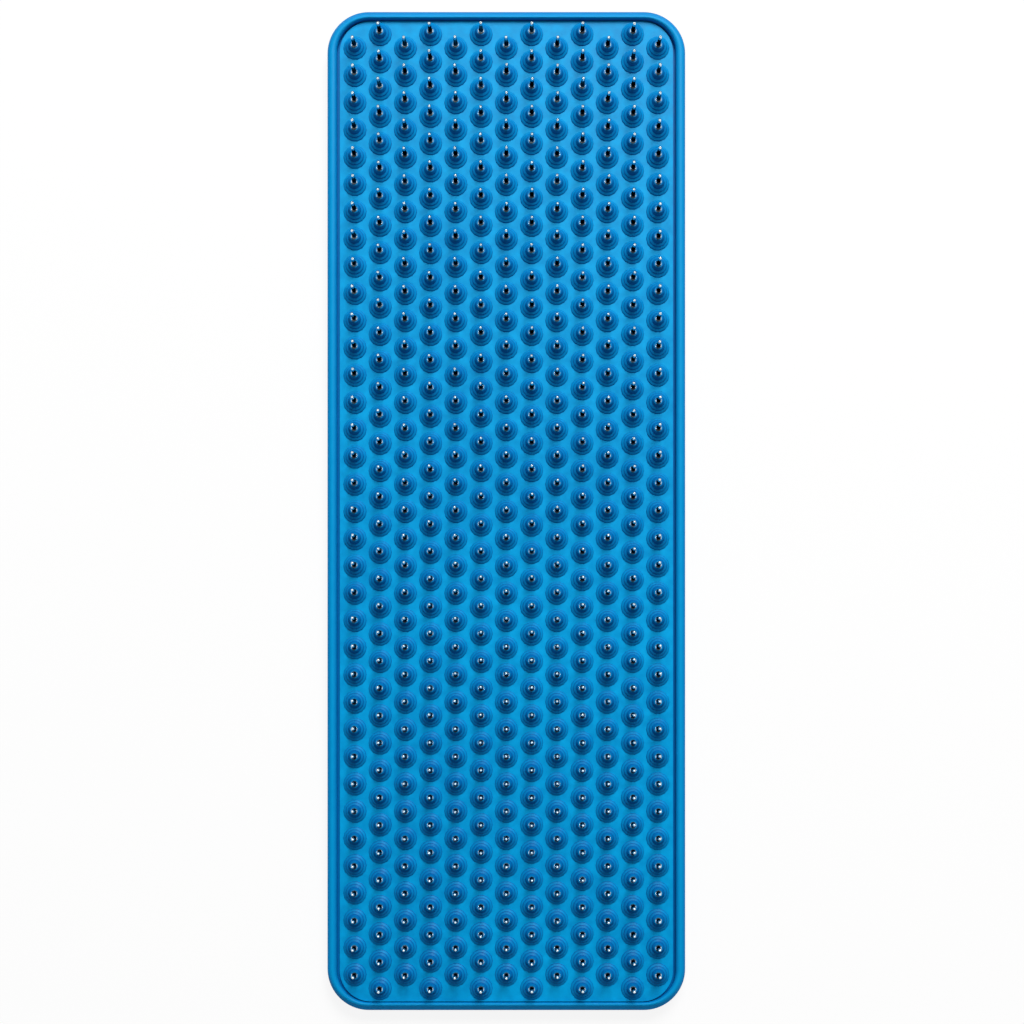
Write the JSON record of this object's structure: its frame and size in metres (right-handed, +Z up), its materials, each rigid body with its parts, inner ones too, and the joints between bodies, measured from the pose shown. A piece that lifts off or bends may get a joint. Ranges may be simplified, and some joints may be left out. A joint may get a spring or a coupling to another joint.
{
  "type": "acupressure mat",
  "caption": "Flat round-cornered rubber mat with a rolled rim and a staggered field of cone-shaped studs, each with a steel needle standing out of it.",
  "frame": {"origin": "middle of the flat underside", "axes": "+Z up, the way the needles point; +Y along the mat's length; +X across it"},
  "size_m": [0.0812, 0.2268, 0.0086],
  "materials": {
    "tray_rubber": "moulded blue rubber, satin",
    "sheet_rubber": "moulded blue rubber, satin",
    "needle_steel": "polished nickel-plated steel"
  },
  "bodies": {
    "root": {"base_tray": "tray_rubber", "studded_sheet": "sheet_rubber", "needle_column_01": "needle_steel", "needle_column_02": "needle_steel", "needle_column_03": "needle_steel", "needle_column_04": "needle_steel", "needle_column_05": "needle_steel", "needle_column_06": "needle_steel", "needle_column_07": "needle_steel", "needle_column_08": "needle_steel", "needle_column_09": "needle_steel", "needle_column_10": "needle_steel", "needle_column_11": "needle_steel", "needle_column_12": "needle_steel", "needle_column_13": "needle_steel"}
  },
  "joints": []
}
